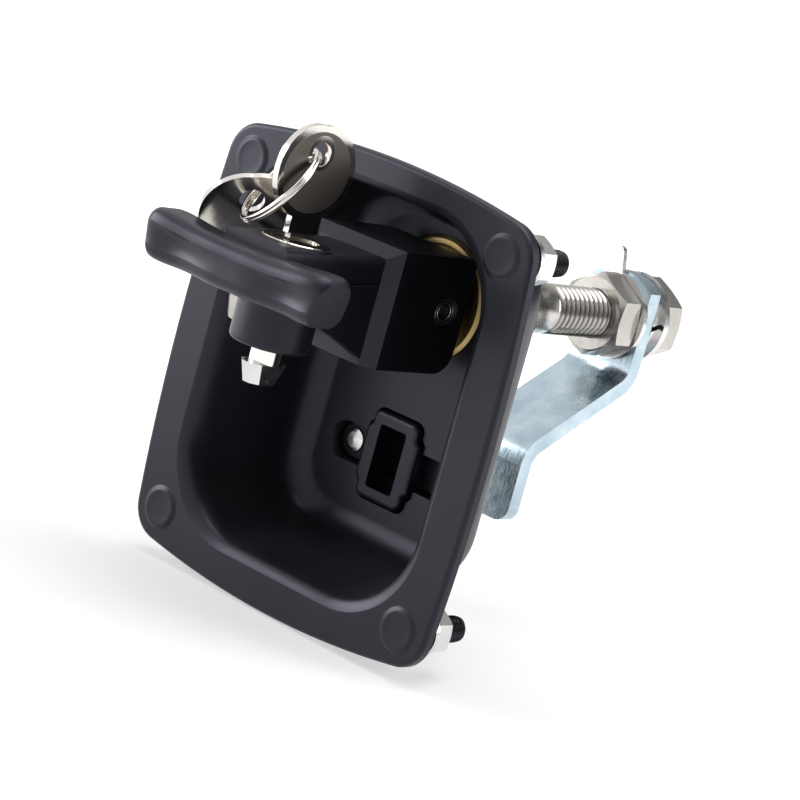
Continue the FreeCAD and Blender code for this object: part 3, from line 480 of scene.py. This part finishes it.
def make_pin_ends():
    """Thin bright steel rings on the rims of the two cupped ends of the hinge pin, as painted
    highlights where light catches those rims.
    """
    low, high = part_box("pivot_pin")
    y = (low.y + high.y) / 2
    z = (low.z + high.z) / 2
    bm = bmesh.new()
    for x, inward in ((low.x, 1), (high.x, -1)):
        place = x + inward * pin_ring_wire_r * pin_ring_sunk
        turned_ring(bm, place, y, z, pin_ring_r, pin_ring_wire_r)
        turned_ring(bm, place, y, z, pin_cup_ring_r, pin_ring_wire_r)
    # Painted highlights: bright steel rings laid on the dark pin's rims.
    add_piece("pin_end_painted_highlights", "handle", mesh_from(bm, "pin_end_painted_highlights"),
              "dark_pin", smooth_round, "bright_steel")


def seen_rays(tree):
    """1 for rays from the camera and for rays that metal or glass sends on, else 0."""
    path = tree.nodes.new("ShaderNodeLightPath")
    value = path.outputs["Is Camera Ray"]
    for kind in ("Is Glossy Ray", "Is Transmission Ray"):
        either = tree.nodes.new("ShaderNodeMath")
        either.operation = "MAXIMUM"
        tree.links.new(value, either.inputs[0])
        tree.links.new(path.outputs[kind], either.inputs[1])
        value = either.outputs["Value"]
    return value


def floor_paint():
    """Matt white that keeps the shadow and fades into the white background."""
    mat, tree, shader = material("floor_paint")
    color = blended(tree, noise(tree, 40.0, 2.0), (0.60, 0.60, 0.60), (0.64, 0.64, 0.64))
    tree.links.new(color, shader.inputs["Base Color"])
    shader.inputs["Roughness"].default_value = 0.9
    shader.inputs["Specular IOR Level"].default_value = 0.0
    distance = tree.nodes.new("ShaderNodeVectorMath")
    distance.operation = "LENGTH"
    tree.links.new(object_space(tree, (1, 1, 0)), distance.inputs[0])
    glow = mapped(tree, distance.outputs["Value"], floor_glow_near, 1.0, fade_start, fade_end)
    seen = tree.nodes.new("ShaderNodeMath")
    seen.operation = "MULTIPLY"
    tree.links.new(seen_rays(tree), seen.inputs[0])
    tree.links.new(glow, seen.inputs[1])
    tree.links.new(seen.outputs["Value"], shader.inputs["Emission Strength"])
    shader.inputs["Emission Color"].default_value = (1, 1, 1, 1)
    return mat


def make_stage():
    """Pale floor under the lowest point of the latch."""
    bm = bmesh.new()
    level = cad_low.z - floor_gap
    corners = ((-1, -1), (1, -1), (1, 1), (-1, 1))
    bm.faces.new([bm.verts.new((x * floor_reach, y * floor_reach, level)) for x, y in corners])
    mesh = mesh_from(bm, "floor")
    floor = bpy.data.objects.new("floor", mesh)
    bpy.context.collection.objects.link(floor)
    mesh.materials.append(floor_paint())


def make_world():
    """White background, which gloss sees white on the lit side and dim on the far side."""
    world = bpy.data.worlds.new("studio")
    bpy.context.scene.world = world
    world.use_nodes = True
    tree = world.node_tree
    background = tree.nodes["Background"]
    background.inputs["Color"].default_value = (1, 1, 1, 1)
    coords = tree.nodes.new("ShaderNodeTexCoord")
    side = tree.nodes.new("ShaderNodeVectorMath")
    side.operation = "DOT_PRODUCT"
    tree.links.new(coords.outputs["Generated"], side.inputs[0])
    side.inputs[1].default_value = Vector(lit_side).normalized()
    gloss = mapped(tree, side.outputs["Value"], dim_side_level, 1.0,
                   dim_side_end, lit_side_start)
    path = tree.nodes.new("ShaderNodeLightPath")
    level = chosen(tree, path.outputs["Is Glossy Ray"], world_fill, gloss)
    level = chosen(tree, path.outputs["Is Transmission Ray"], level, 1.0)
    level = chosen(tree, path.outputs["Is Camera Ray"], level, 1.0)
    tree.links.new(level, background.inputs["Strength"])


def make_lamps():
    target = Vector(lamp_target)
    for name, place, size, power in lamps:
        data = bpy.data.lights.new(name, "AREA")
        data.shape = "RECTANGLE"
        data.size, data.size_y = size
        data.energy = power
        lamp = bpy.data.objects.new(name, data)
        bpy.context.collection.objects.link(lamp)
        lamp.location = place
        lamp.rotation_euler = (target - Vector(place)).to_track_quat("-Z", "Y").to_euler()


def make_camera():
    data = bpy.data.cameras.new("camera")
    data.lens = camera_lens
    data.sensor_width = camera_sensor
    data.clip_start, data.clip_end = camera_clip
    camera = bpy.data.objects.new("camera", data)
    bpy.context.collection.objects.link(camera)
    camera.location = camera_place
    camera.rotation_euler = Euler([math.radians(a) for a in camera_turn], "XYZ")
    bpy.context.scene.camera = camera


make_camera()
make_stage()
make_world()
make_lamps()
dress_nodes()
make_spindle()
make_studs()
make_dimples()
make_pin_ends()

bpy.context.scene.view_settings.view_transform = "Standard"
